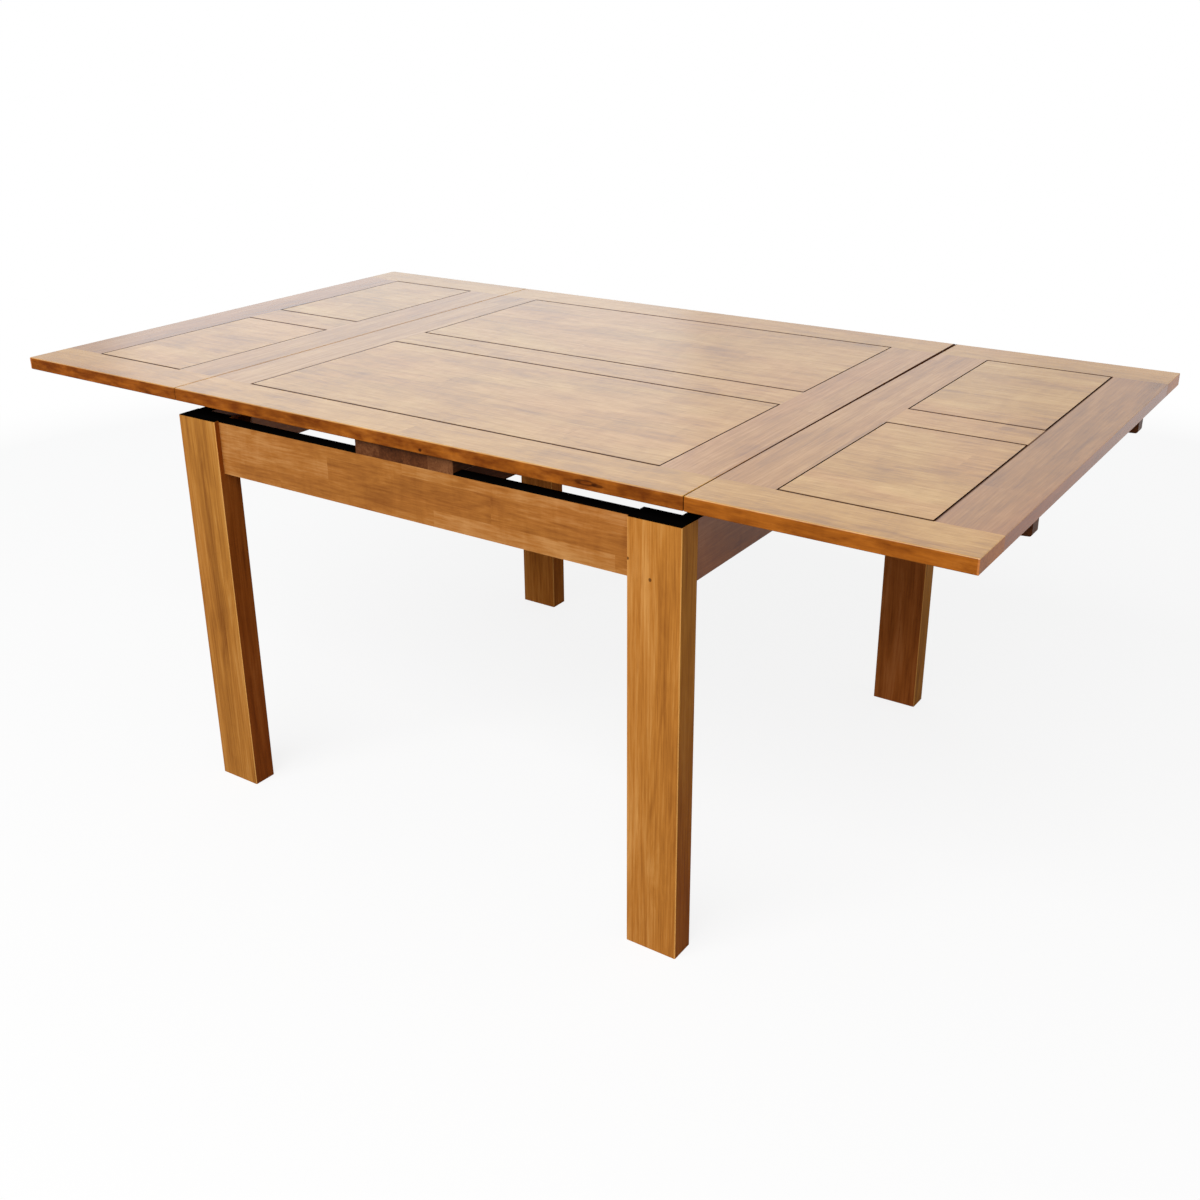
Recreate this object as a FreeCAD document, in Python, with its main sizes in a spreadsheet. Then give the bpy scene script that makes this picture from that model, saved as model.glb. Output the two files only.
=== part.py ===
"""An extending dining table of the draw-leaf kind, stored with both leaves drawn out.

X runs along the table, Y across it and Z up from the floor. Millimetres throughout.
The two leaves are the same leaf, turned half round about the table's middle.
"""

import FreeCAD, Part
import math
import os
import re
import Sketcher

# Driving sizes, in millimetres

SIZES = {
    # the table and its boards
    "table_height": 750,
    "top_length": 1000,
    "top_width": 1000,
    "leaf_length": 399,
    "board_thickness": 22,
    "edge_board_width": 88,
    "end_board_width": 90,
    "middle_board_width": 85,
    "board_chamfer": 1,
    "board_round": 2,
    # tongues, grooves and the shadow gap round each panel
    "tongue_thickness": 6,
    "tongue_length": 8,
    "tongue_play": 0.25,
    "groove_tip_play": 0.5,
    "groove_stop": 15,
    "panel_gap": 2.4,
    # the frame
    "leg_width": 88,
    "leg_depth": 44,
    "leg_inset": 1,
    "leg_round": 2,
    "rail_thickness": 22,
    "rail_height": 91,
    "rail_setback": 10,
    "end_rail_setback": 3,
    "rail_drop": 2,
    "felt_thickness": 1,
    "felt_inset": 1,
    "tenon_length": 24,
    "tenon_thickness": 10,
    "tenon_shoulder": 10,
    "tenon_play": 0.3,
    "brace_thickness": 22,
    "brace_height": 60,
    "brace_drop": 26,
    "brace_play": 0.3,
    # the bearer and the guide rail under the top
    "bearer_width": 196,
    "guide_rail_thickness": 22,
    # the way in and out of a leaf
    "seam_gap": 1,
    "leaf_play": 1,
    "bearer_play": 2,
    "loper_thickness": 24,
    "loper_depth": 38,
    "loper_rail_gap": 174,
    "loper_spacing": 28,
    "loper_hold": 78,
    "loper_end_inset": 1,
    "loper_round": 4,
    "slide_play": 0.5,
    "notch_play": 0.6,
    "cut_over": 1,
    "over_travel": 12,
    "stop_length": 30,
    "stop_height": 15,
    # the pegs that guide the loose top
    "peg_diameter": 16,
    "peg_place": 60,
    "peg_depth": 12,
    "peg_play": 0.5,
    "lift_height": 32,
    "washer_diameter": 34,
    "washer_thickness": 3,
    # screws and bolts
    "screw_diameter": 5,
    "screw_head": 10,
    "screw_head_height": 3,
    "screw_bite": 14,
    "screw_play": 0.2,
    "screw_pitch": 44,
    "screw_grip": 12,
    "peg_screw_bite": 24,
    "bolt_diameter": 8,
    "bolt_bite": 18,
    "bolt_end": 12,
    "bolt_start": 4,
    "nut_width": 13,
    "nut_height": 7,
    "bolt_washer": 22,
    "bolt_washer_thickness": 1.6,
}

# Lengths that follow from the driving sizes

DERIVED = {
    "underside": "table_height - board_thickness",
    "frame_top": "underside - board_thickness - 2 * leaf_play",
    "leg_height": "frame_top - felt_thickness",
    "rail_top": "leg_height - rail_drop",
    "rail_base": "rail_top - rail_height",
    "rail_felt": "frame_top - rail_top",
    "leg_x": "top_length / 2 - leg_inset",
    "leg_y": "top_width / 2 - leg_inset",
    "rail_x": "leg_x - end_rail_setback - rail_thickness",
    "rail_y": "leg_y - rail_setback - rail_thickness",
    "side_span": "2 * (leg_x - leg_width)",
    "end_span": "2 * (leg_y - leg_depth)",
    "tenon_step": "(rail_thickness - tenon_thickness) / 2",
    "tenon_height": "rail_height - 2 * tenon_shoulder",
    "tenon_middle": "rail_base + rail_height / 2",
    "bearer_half": "bearer_width / 2",
    "bearer_thickness": "underside - rail_top",
    "bearer_span": "2 * (leg_y - rail_setback)",
    "groove_depth": "tongue_length + groove_tip_play",
    "groove_height": "tongue_thickness + 2 * tongue_play",
    "travel": "top_length / 2 + seam_gap - bearer_half - bearer_play",
    "drop": "board_thickness + leaf_play",
    "leaf_inner": "top_length / 2 + seam_gap",
    "leaf_outer": "leaf_inner + leaf_length",
    "loper_inner": "bearer_half - loper_hold",
    "loper_outer": "leaf_outer - loper_end_inset",
    "loper_flat": "bearer_half + (underside - rail_top + slide_play) * travel / drop",
    "stop_outer": "rail_x - over_travel",
    "stop_inner": "stop_outer - stop_length",
    "screw_middle": "leaf_outer - end_board_width / 2",
    "bore": "screw_diameter + 2 * screw_play",
    "head_bore": "screw_head + 2",
    "leg_corner_x": "leg_width - end_rail_setback - rail_thickness",
    "leg_corner_y": "leg_depth - rail_setback - rail_thickness",
    "brace_near": "leg_corner_x + leg_corner_y + brace_play * sqrt(2)",
    "brace_far": "brace_near + brace_thickness * sqrt(2)",
    "brace_base": "rail_top - brace_drop - brace_height",
    "bolt_bore": "bolt_diameter + 2 * screw_play",
    "bolt_shoulder": "bolt_bite + brace_play + brace_thickness",
    "row_half": "loper_spacing / 2",
    "loper_row": "rail_y - loper_rail_gap - row_half - loper_thickness / 2",
    "notch_width": "loper_thickness + 2 * notch_play",
    "opening_width": "(top_width - 2 * edge_board_width - middle_board_width) / 2",
}


def formula(text):
    """Write a formula of size names out as one that the spreadsheet answers."""
    def spell(found):
        word = found[0]
        return "Sizes." + word if word in SIZES else "(" + formula(DERIVED[word]) + ")"
    return re.sub(r"\b[a-z]\w*\b(?!\()", spell, str(text))


# Where the right leaf's two lopers run. A half turn gives the left leaf's, which pass beside them.
ROWS = ("-loper_row - row_half", "loper_row - row_half")


def loper_top(x):
    """Height of the sliding line that a loper's upper edge follows, at x."""
    return f"(rail_top - slide_play + (({x}) - bearer_half) * drop / travel)"


def loper_base(x):
    """Height of a loper's lower edge at x."""
    return f"({loper_top(x)} - loper_depth)"


doc = FreeCAD.newDocument("ExtendingTable")
sheet = doc.addObject("Spreadsheet::Sheet", "Sizes")
for row, (alias, size) in enumerate(SIZES.items(), 1):
    sheet.set(f"A{row}", alias)
    sheet.set(f"B{row}", str(size))
    sheet.setAlias(f"B{row}", alias)
doc.recompute()


def value(text):
    """The number that a formula gives with the sizes as they are."""
    return float(sheet.evalExpression(formula(text)))


# Sketches and features

UP = FreeCAD.Vector(0, 0, 1)
pieces = {}


def piece(name):
    """A body of its own, kept under the name of its file."""
    body = doc.addObject("PartDesign::Body", name)
    body.Label = name
    pieces[name] = body
    return body


def set_placement(made, x, y, z, rotation):
    """Set a piece or feature by formulas, so that it follows the sizes."""
    made.Placement = FreeCAD.Placement(FreeCAD.Vector(), rotation)
    for axis, text in zip("xyz", (x, y, z)):
        made.setExpression(f"Placement.Base.{axis}", formula(text))


def place(body, x, y, z, turn=0):
    """Set a piece by its own origin, turned about the upright axis."""
    set_placement(body, x, y, z, FreeCAD.Rotation(UP, turn))


def place_half(body, x, y, z, turn=0, half=0):
    """Set a piece, then swing it half round the table's middle where half is 180."""
    if half:
        x, y = f"-({x})", f"-({y})"
    place(body, x, y, z, turn + half)


def rectangle(x0, y0, x1, y1):
    return [(x0, y0), (x1, y0), (x1, y1), (x0, y1)]


def pin_point(sk, edge, end, x, y):
    """Hold one sketch point at x, y from the sketch's origin."""
    if value(x) == 0:
        sk.addConstraint(Sketcher.Constraint("PointOnObject", edge, end, -2))
    else:
        at = sk.addConstraint(Sketcher.Constraint("DistanceX", -1, 1, edge, end, value(x)))
        sk.setExpression(f"Constraints[{at}]", formula(x))
    if value(y) == 0:
        sk.addConstraint(Sketcher.Constraint("PointOnObject", edge, end, -1))
    else:
        at = sk.addConstraint(Sketcher.Constraint("DistanceY", -1, 1, edge, end, value(y)))
        sk.setExpression(f"Constraints[{at}]", formula(y))


def sketch(body, role, outlines=(), circles=(), lift="0"):
    """A sketch of closed outlines and circles on one of the body's own planes."""
    sk = body.newObject("Sketcher::SketchObject", f"{body.Name}_sketch")
    plane = next(f for f in body.Origin.OriginFeatures if f.Role == role)
    sk.AttachmentSupport = [(plane, "")]
    sk.MapMode = "FlatFace"
    sk.setExpression("AttachmentOffset.Base.z", formula(lift))
    for outline in outlines:
        points = [FreeCAD.Vector(value(x), value(y), 0) for x, y in outline]
        first = sk.GeometryCount
        count = len(points)
        for n in range(count):
            sk.addGeometry(Part.LineSegment(points[n], points[(n + 1) % count]))
        for n in range(count):
            after = first + (n + 1) % count
            sk.addConstraint(Sketcher.Constraint("Coincident", first + n, 2, after, 1))
        for n, (x, y) in enumerate(outline):
            pin_point(sk, first + n, 1, x, y)
    for x, y, diameter in circles:
        centre = FreeCAD.Vector(value(x), value(y), 0)
        ring = sk.addGeometry(Part.Circle(centre, UP, value(diameter) / 2))
        pin_point(sk, ring, 3, x, y)
        at = sk.addConstraint(Sketcher.Constraint("Diameter", ring, value(diameter)))
        sk.setExpression(f"Constraints[{at}]", formula(diameter))
    return sk


def feature(body, kind, sk, length, both_ways=False, reverse=False):
    """A pad or pocket of one sketch."""
    made = body.newObject(f"PartDesign::{kind}", f"{body.Name}_{kind.lower()}")
    made.Profile = sk
    made.setExpression("Length", formula(length))
    made.SideType = "Symmetric" if both_ways else "One side"
    made.Reversed = reverse
    body.Tip = made
    return made


def pad(body, sk, length, both_ways=False):
    return feature(body, "Pad", sk, length, both_ways)


def pocket(body, sk, length, both_ways=False, reverse=False):
    return feature(body, "Pocket", sk, length, both_ways, reverse)


def soften(body, kind, size, wanted):
    """Round or chamfer the edges of which both ends pass the test."""
    doc.recompute()
    base = body.Tip
    names = []
    for n, edge in enumerate(base.Shape.Edges, 1):
        ends = [v.Point for v in edge.Vertexes]
        if len(ends) == 2 and wanted(ends[0], ends[1]):
            names.append(f"Edge{n}")
    made = body.newObject(f"PartDesign::{kind}", f"{body.Name}_{kind.lower()}")
    made.Base = (base, names)
    made.setExpression("Size" if kind == "Chamfer" else "Radius", formula(size))
    body.Tip = made


def loose_piece(name):
    """A body that is filed in a group, not by itself."""
    return doc.addObject("PartDesign::Body", name)


def group(name, bodies):
    """Several like fasteners under one file name."""
    made = doc.addObject("Part::Compound", name)
    made.Label = name
    made.Links = bodies
    pieces[name] = made


def bore(body, x, y, z, way, diameter, depth):
    """A round hole from a point, along a direction."""
    made = body.newObject("PartDesign::SubtractiveCylinder", f"{body.Name}_bore")
    made.setExpression("Radius", formula(f"{diameter} / 2"))
    made.setExpression("Height", formula(depth))
    set_placement(made, x, y, z, FreeCAD.Rotation(UP, way))
    body.Tip = made


def prism(body, sides, radius, start, length):
    """An upright bar with this many flat sides, its corners at one radius."""
    turns = [2 * math.pi * n / sides for n in range(sides)]
    outline = [(f"{radius} * {round(math.cos(a), 9)}", f"{radius} * {round(math.sin(a), 9)}")
               for a in turns]
    pad(body, sketch(body, "XY_Plane", [outline], lift=start), length)


def near(a, b):
    return abs(a - b) < 1e-6


LEFT, RIGHT = "left", "right"
CORNERS = (("front", LEFT, False, 0), ("front", RIGHT, True, 0),
           ("back", RIGHT, False, 180), ("back", LEFT, True, 180))
NUT_SIDES = 6
WASHER_SIDES = 16


# Legs, with mortises for both rails and a bore for the brace bolt

def leg_way(flipped, x):
    """A leg's x, counted from its outer face, in the sketches of either hand."""
    return f"leg_width - ({x})" if flipped else x


def build_leg(name, flipped, turn):
    body = piece(name)
    pad(body, sketch(body, "XY_Plane", [rectangle("0", "0", "leg_width", "leg_depth")]),
        "leg_height")
    soften(body, "Fillet", "leg_round",
           lambda a, b: near(a.x, b.x) and near(a.y, b.y))
    side = rectangle(
        leg_way(flipped, "leg_width - tenon_length - tenon_play"),
        "rail_setback + tenon_step - tenon_play",
        leg_way(flipped, "leg_width"),
        "rail_setback + tenon_step + tenon_thickness + tenon_play",
    )
    end = rectangle(
        leg_way(flipped, "end_rail_setback + tenon_step - tenon_play"),
        "leg_depth - tenon_length - tenon_play",
        leg_way(flipped, "end_rail_setback + tenon_step + tenon_thickness + tenon_play"),
        "leg_depth",
    )
    pocket(body, sketch(body, "XY_Plane", [side, end], lift="tenon_middle"),
           "tenon_height + 2 * tenon_play", both_ways=True)
    sideways = 1 if flipped else -1
    corner = "0" if flipped else "leg_width"
    bore(body, f"{corner} - ({sideways}) * bolt_start", "leg_depth + bolt_start",
         "brace_base + brace_height / 2", FreeCAD.Vector(sideways, -1, 0),
         "bolt_bore", "bolt_bite + 2 * screw_play + bolt_start * sqrt(2)")
    x = "leg_x - leg_width" if flipped else "-(leg_x)"
    y = "-(leg_y)"
    if turn:
        x, y = f"-({x})", "leg_y"
    place(body, x, y, "0", turn)


for depth, side, flipped, turn in CORNERS:
    build_leg(f"leg_{depth}_{side}", flipped, turn)


# Rails round the frame

def build_side_rail(name, turn):
    body = piece(name)
    whole = "side_span + 2 * tenon_length"
    pad(body, sketch(body, "XY_Plane", [rectangle(
        "tenon_length", "0", "tenon_length + side_span", "rail_thickness")]),
        "rail_height")
    pad(body, sketch(body, "XY_Plane", [rectangle(
        "0", "tenon_step", whole, "tenon_step + tenon_thickness")],
        lift="rail_height / 2"), "tenon_height", both_ways=True)
    holes = [(f"tenon_length + side_span / 2 {sign} peg_place", "rail_thickness / 2", "bore")
             for sign in "+-"]
    pocket(body, sketch(body, "XY_Plane", circles=holes, lift="rail_height"),
           "screw_bite + slide_play")
    sign = "" if turn else "-"
    place(body, f"{sign}(side_span / 2 + tenon_length)", f"{sign}(leg_y - rail_setback)",
          "rail_base", turn)


def build_end_rail(name, half):
    body = piece(name)
    start = "end_span / 2 + tenon_length"
    pad(body, sketch(body, "XY_Plane", [rectangle(
        "0", "tenon_length", "rail_thickness", "tenon_length + end_span")]),
        "rail_height")
    pad(body, sketch(body, "XY_Plane", [rectangle(
        "tenon_step", "0", "tenon_step + tenon_thickness", "end_span + 2 * tenon_length")],
        lift="rail_height / 2"), "tenon_height", both_ways=True)
    floor = [f"{loper_base(x)} - notch_play - rail_base"
             for x in ("rail_x", "rail_x + rail_thickness")]
    above = "rail_height + cut_over"
    notch = [("0", floor[0]), ("rail_thickness", floor[1]),
             ("rail_thickness", above), ("0", above)]
    for row in ROWS:
        pocket(body, sketch(body, "XZ_Plane", [notch], lift=f"-({start} + {row})"),
               "notch_width", both_ways=True)
    place_half(body, "rail_x", f"-({start})", "rail_base", 0, half)


build_side_rail("front_rail", 0)
build_side_rail("back_rail", 180)
build_end_rail("right_end_rail", 0)
build_end_rail("left_end_rail", 180)


# Bearer across the middle, and the slotted guide rail below it

bearer = piece("centre_bearer")
pad(bearer, sketch(bearer, "XY_Plane", [rectangle("0", "0", "bearer_width", "bearer_span")]),
    "bearer_thickness")
pegs = [(f"bearer_half {sign} peg_place", "bearer_span / 2", "peg_diameter + 2 * peg_play")
        for sign in "+-"]
screws = [(f"bearer_half {sign} peg_place", y)
          for sign in "+-" for y in ("rail_thickness / 2", "bearer_span - rail_thickness / 2")]
pocket(bearer, sketch(bearer, "XY_Plane", circles=pegs + [(x, y, "bore") for x, y in screws]),
       "bearer_thickness", reverse=True)
pocket(bearer, sketch(bearer, "XY_Plane", circles=[(x, y, "head_bore") for x, y in screws],
                      lift="bearer_thickness"), "screw_head_height + screw_play")
soften(bearer, "Chamfer", "board_chamfer",
       lambda a, b: near(a.z, b.z) and near(a.z, 0) and near(a.x, b.x)
       and abs(a.y - b.y) > value("bearer_span / 2"))
place(bearer, "-bearer_half", "-bearer_span / 2", "rail_top")

guide = piece("centre_guide_rail")
pad(guide, sketch(guide, "XY_Plane", [rectangle(
    "0", "0", "guide_rail_thickness", "2 * rail_y")]), "rail_height")
slots = []
for row in ("-loper_row", "loper_row"):
    reach = "(row_half + notch_width / 2)"
    slots.append(rectangle(
        f"rail_y + {row} - {reach}",
        f"{loper_base('-guide_rail_thickness / 2')} - notch_play - rail_base",
        f"rail_y + {row} + {reach}", "rail_height + cut_over"))
pocket(guide, sketch(guide, "YZ_Plane", slots), "2 * (guide_rail_thickness + cut_over)",
       both_ways=True)
place(guide, "-guide_rail_thickness / 2", "-rail_y", "rail_base")


# Corner braces and their bolts

def build_brace(name, flipped, turn, corner_x, corner_y):
    body = piece(name)
    pad(body, sketch(body, "XY_Plane", [[
        ("brace_near", "0"), ("brace_far", "0"), ("0", "brace_far"), ("0", "brace_near")]]),
        "brace_height")
    near_corner = ("leg_corner_x", "leg_corner_y")
    x, y = reversed(near_corner) if flipped else near_corner
    bore(body, x, y, "brace_height / 2", FreeCAD.Vector(1, 1, 0), "bolt_bore",
         "brace_play + brace_thickness + cut_over")
    place(body, corner_x, corner_y, "brace_base", turn)


bolts = []
for (depth, side, flipped, _), turn in zip(CORNERS, (0, 90, 180, 270)):
    sign_x = "-" if side == LEFT else ""
    sign_y = "-" if depth == "front" else ""
    build_brace(f"brace_{depth}_{side}", flipped, turn, f"{sign_x}rail_x", f"{sign_y}rail_y")
    inward = FreeCAD.Vector(1 if sign_x else -1, 1 if sign_y else -1, 0)
    bolt = loose_piece(f"bolt_{depth}_{side}")
    nut_base = "bolt_shoulder + bolt_washer_thickness"
    prism(bolt, NUT_SIDES, "bolt_diameter / 2", "0", f"{nut_base} + nut_height + bolt_end")
    prism(bolt, WASHER_SIDES, "bolt_washer / 2", "bolt_shoulder", "bolt_washer_thickness")
    prism(bolt, NUT_SIDES, "nut_width / sqrt(3)", nut_base, "nut_height")
    set_placement(
        bolt,
        f"{sign_x}(leg_x - leg_width) - ({inward.x}) * bolt_bite / sqrt(2)",
        f"{sign_y}(leg_y - leg_depth) - ({inward.y}) * bolt_bite / sqrt(2)",
        "brace_base + brace_height / 2",
        FreeCAD.Rotation(UP, inward))
    bolts.append(bolt)
group("leg_bolts", bolts)


# Black felt on the frame's upper faces

def strips(name, outlines, thickness):
    body = piece(name)
    pad(body, sketch(body, "XY_Plane", outlines), thickness)
    return body


for name, half in (("front_rail_felt", 0), ("back_rail_felt", 180)):
    felt = strips(name, [
        rectangle("0", "0", "side_span / 2 - bearer_half", "rail_thickness"),
        rectangle("side_span / 2 + bearer_half", "0", "side_span", "rail_thickness"),
    ], "rail_felt")
    place_half(felt, "-side_span / 2", "-(leg_y - rail_setback)", "rail_top", 0, half)

for name, half in (("right_rail_felt", 0), ("left_rail_felt", 180)):
    cuts = [f"end_span / 2 + {row}" for row in ROWS]
    starts = ["0"] + [f"{cut} + notch_width / 2" for cut in cuts]
    ends = [f"{cut} - notch_width / 2" for cut in cuts] + ["end_span"]
    felt = strips(name, [rectangle("0", a, "rail_thickness", b)
                         for a, b in zip(starts, ends)], "rail_felt")
    place_half(felt, "rail_x", "-end_span / 2", "rail_top", 0, half)

pads = strips("leg_felts", [
    rectangle(f"{x} + felt_inset", f"{y} + felt_inset",
              f"{x} + leg_width - felt_inset", f"{y} + leg_depth - felt_inset")
    for x in ("0", "2 * leg_x - leg_width") for y in ("0", "2 * leg_y - leg_depth")
], "felt_thickness")
place(pads, "-(leg_x)", "-(leg_y)", "leg_height")


# Screws that hold the bearer down

def build_screw(name, length):
    """A screw standing on its head, its shank pointing up."""
    body = loose_piece(name)
    prism(body, NUT_SIDES, "screw_head / 2", "0", "screw_head_height")
    prism(body, NUT_SIDES, "screw_diameter / 2", "screw_head_height", length)
    return body


held = []
for sign_y in "-+":
    for sign_x in "-+":
        screw = build_screw("bearer_screw", "bearer_thickness - screw_head_height + screw_bite")
        set_placement(screw, f"{sign_x}peg_place",
                      f"{sign_y}(leg_y - rail_setback - rail_thickness / 2)", "underside",
                      FreeCAD.Rotation(FreeCAD.Vector(1, 0, 0), 180))
        held.append(screw)
group("bearer_screws", held)


# Framed boards: two edge boards, two end boards, a middle board and two panels

def mid_tongue(body, outline):
    """A tongue or tenon half way up a board."""
    pad(body, sketch(body, "XY_Plane", [outline], lift="board_thickness / 2"),
        "tongue_thickness", both_ways=True)


def mid_groove(body, outlines):
    """Grooves half way up a board."""
    pocket(body, sketch(body, "XY_Plane", outlines, lift="board_thickness / 2"),
           "groove_height", both_ways=True)


def level(a, b):
    """True for an edge that lies on a board's upper or lower face."""
    return near(a.z, b.z) and (near(a.z, 0) or near(a.z, value("board_thickness")))


def edge_board(name, length):
    body = piece(name)
    pad(body, sketch(body, "XY_Plane", [rectangle("0", "0", length, "edge_board_width")]),
        "board_thickness")
    mid_groove(body, [rectangle(
        "groove_stop", "edge_board_width - groove_depth",
        f"{length} - groove_stop", "edge_board_width")])
    far = value(length)
    soften(body, "Chamfer", "board_chamfer", lambda a, b: level(a, b) and (
        near(a.x, b.x) and (near(a.x, 0) or near(a.x, far))
        or near(a.y, b.y) and near(a.y, 0) and near(a.z, 0)))
    soften(body, "Fillet", "board_round",
           lambda a, b: level(a, b) and near(a.y, b.y) and near(a.y, 0) and not near(a.z, 0))
    return body


def end_board(name, screw_rows=()):
    body = piece(name)
    span = "(top_width - 2 * edge_board_width)"
    pad(body, sketch(body, "XY_Plane", [rectangle(
        "0", "tongue_length", "end_board_width", f"tongue_length + {span}")]),
        "board_thickness")
    mid_tongue(body, rectangle(
        "groove_stop + groove_tip_play", "0",
        "end_board_width - groove_depth", f"{span} + 2 * tongue_length"))
    mid_groove(body, [rectangle(
        "end_board_width - groove_depth", "tongue_length",
        "end_board_width", f"tongue_length + {span}")])
    if screw_rows:
        holes = [(f"end_board_width / 2 {sign} screw_pitch / 2",
                  f"tongue_length + {span} / 2 - ({row})", "bore")
                 for row in screw_rows for sign in "+-"]
        pocket(body, sketch(body, "XY_Plane", circles=holes),
               "screw_bite + slide_play", reverse=True)
    soften(body, "Chamfer", "board_chamfer",
           lambda a, b: level(a, b) and near(a.x, b.x) and near(a.x, 0))
    return body


def middle_board(name, length, peg_holes=False):
    body = piece(name)
    pad(body, sketch(body, "XY_Plane", [rectangle(
        "tongue_length", "0", f"tongue_length + {length}", "middle_board_width")]),
        "board_thickness")
    mid_tongue(body, rectangle(
        "0", "groove_depth", f"{length} + 2 * tongue_length",
        "middle_board_width - groove_depth"))
    mid_groove(body, [
        rectangle("tongue_length", "0", f"tongue_length + {length}", "groove_depth"),
        rectangle("tongue_length", "middle_board_width - groove_depth",
                  f"tongue_length + {length}", "middle_board_width"),
    ])
    if peg_holes:
        holes = [(f"tongue_length + {length} / 2 {sign} peg_place", "middle_board_width / 2",
                  "peg_diameter + 2 * screw_play") for sign in "+-"]
        pocket(body, sketch(body, "XY_Plane", circles=holes), "peg_depth", reverse=True)
    return body


def panel(name, length):
    body = piece(name)
    pad(body, sketch(body, "XY_Plane", [rectangle(
        "tongue_length + panel_gap", "tongue_length + panel_gap",
        f"tongue_length + {length} - panel_gap",
        "tongue_length + opening_width - panel_gap")]), "board_thickness")
    mid_tongue(body, rectangle(
        "0", "0", f"{length} + 2 * tongue_length", "opening_width + 2 * tongue_length"))
    return body


def build_field(first, last, front, back, length, start, half=0, screw_rows=(), pegged=False):
    """One framed field of the top, from x = start, with its boards named for their places."""
    inside = f"({length} - 2 * end_board_width)"
    stem = first.rsplit("_", 3)[0] if "leaf" in first else "centre"
    edge = "top_width / 2"
    inner = "(top_width / 2 - edge_board_width + tongue_length)"
    place_half(edge_board(f"{stem}_{front}_board", length),
               start, f"-{edge}", "underside", 0, half)
    place_half(edge_board(f"{stem}_{back}_board", length),
               f"{start} + {length}", edge, "underside", 180, half)
    place_half(end_board(first), start, f"-{inner}", "underside", 0, half)
    place_half(end_board(last, screw_rows), f"{start} + {length}", inner, "underside", 180, half)
    within = f"{start} + end_board_width - tongue_length"
    place_half(middle_board(f"{stem}_middle_board", inside, pegged),
               within, "-middle_board_width / 2", "underside", 0, half)
    place_half(panel(f"{stem}_{front}_panel", inside), within, f"-{inner}", "underside", 0, half)
    place_half(panel(f"{stem}_{back}_panel", inside), within,
               "middle_board_width / 2 - tongue_length", "underside", 0, half)


build_field("centre_left_end_board", "centre_right_end_board", "front", "back",
            "top_length", "-top_length / 2", pegged=True)


# Each leaf with its lopers, stop blocks and screws

def build_loper(name, y, half):
    body = piece(name)
    pad(body, sketch(body, "XZ_Plane", [[
        ("loper_inner", loper_base("loper_inner")), ("loper_outer", loper_base("loper_outer")),
        ("loper_outer", "underside"), ("loper_flat", "underside"),
        ("loper_inner", loper_top("loper_inner"))]]), "loper_thickness", both_ways=True)
    spots = [f"screw_middle {sign} screw_pitch / 2" for sign in "+-"]
    pocket(body, sketch(body, "XY_Plane", circles=[(x, "0", "bore") for x in spots],
                        lift="underside"), "loper_depth")
    pocket(body, sketch(body, "XY_Plane", circles=[(x, "0", "head_bore") for x in spots],
                        lift="underside - screw_grip"), "loper_depth")
    low, out = value(loper_base("loper_outer")), value("loper_outer")
    soften(body, "Fillet", "loper_round",
           lambda a, b: near(a.x, out) and near(b.x, out) and near(a.z, low) and near(b.z, low))
    place_half(body, "0", y, "0", 0, half)


def build_stop(name, y, half):
    body = piece(name)
    ends = ("stop_inner", "stop_outer")
    low = [(x, f"{loper_base(x)} - stop_height") for x in ends]
    high = [(x, loper_base(x)) for x in reversed(ends)]
    pad(body, sketch(body, "XZ_Plane", [low + high]), "loper_thickness", both_ways=True)
    place_half(body, "0", y, "0", 0, half)


for side, half in (("right", 0), ("left", 180)):
    front, back = ("back", "front") if half else ("front", "back")
    build_field(f"{side}_leaf_inner_end_board", f"{side}_leaf_outer_end_board", front, back,
                "leaf_length", "leaf_inner", half, ROWS)
    fixings = []
    for place_name, row in zip((front, back), ROWS):
        build_loper(f"{side}_leaf_{place_name}_loper", row, half)
        build_stop(f"{side}_leaf_{place_name}_stop", row, half)
        for sign in "+-":
            screw = build_screw(f"{side}_leaf_screw", "screw_grip + screw_bite")
            place_half(screw, f"screw_middle {sign} screw_pitch / 2", row,
                       "underside - screw_grip - screw_head_height", 0, half)
            fixings.append(screw)
    group(f"{side}_leaf_screws", fixings)


# Pegs that guide the loose top, each with a washer that ends its lift

washers = []
for side, sign in (("left", "-"), ("right", "+")):
    peg = piece(f"guide_peg_{side}")
    pad(peg, sketch(peg, "XY_Plane", circles=[("0", "0", "peg_diameter")]),
        "bearer_thickness + lift_height + peg_depth - screw_play")
    pocket(peg, sketch(peg, "XY_Plane", circles=[("0", "0", "bore")]),
           "peg_screw_bite + slide_play", reverse=True)
    place(peg, f"{sign}peg_place", "0", "rail_top - lift_height")
    washer = build_screw(f"peg_washer_{side}", "washer_thickness + peg_screw_bite")
    prism(washer, WASHER_SIDES, "washer_diameter / 2", "screw_head_height", "washer_thickness")
    place(washer, f"{sign}peg_place", "0",
          "rail_top - lift_height - screw_head_height - washer_thickness")
    washers.append(washer)
group("peg_washers", washers)


# Check every piece and write its file

doc.recompute()
os.makedirs("parts", exist_ok=True)
wrong = [f.Name for f in doc.Objects if "Invalid" in f.State or "Error" in f.State]
if wrong:
    raise RuntimeError(f"features that failed: {wrong}")
for name, made in pieces.items():
    if not made.Shape.isValid() or not made.Shape.Solids:
        raise RuntimeError(f"{name} has no valid solid")
    made.Shape.exportStep(f"parts/{name}.step")
    print(f"{name}: {len(made.Shape.Solids)} solid, {made.Shape.Volume / 1000:.1f} cm3")
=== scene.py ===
"""The looks of an extending dining table: laminated wood with a satin lacquer, felt and screws."""

import math

import bpy
from mathutils import Matrix, Vector


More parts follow.
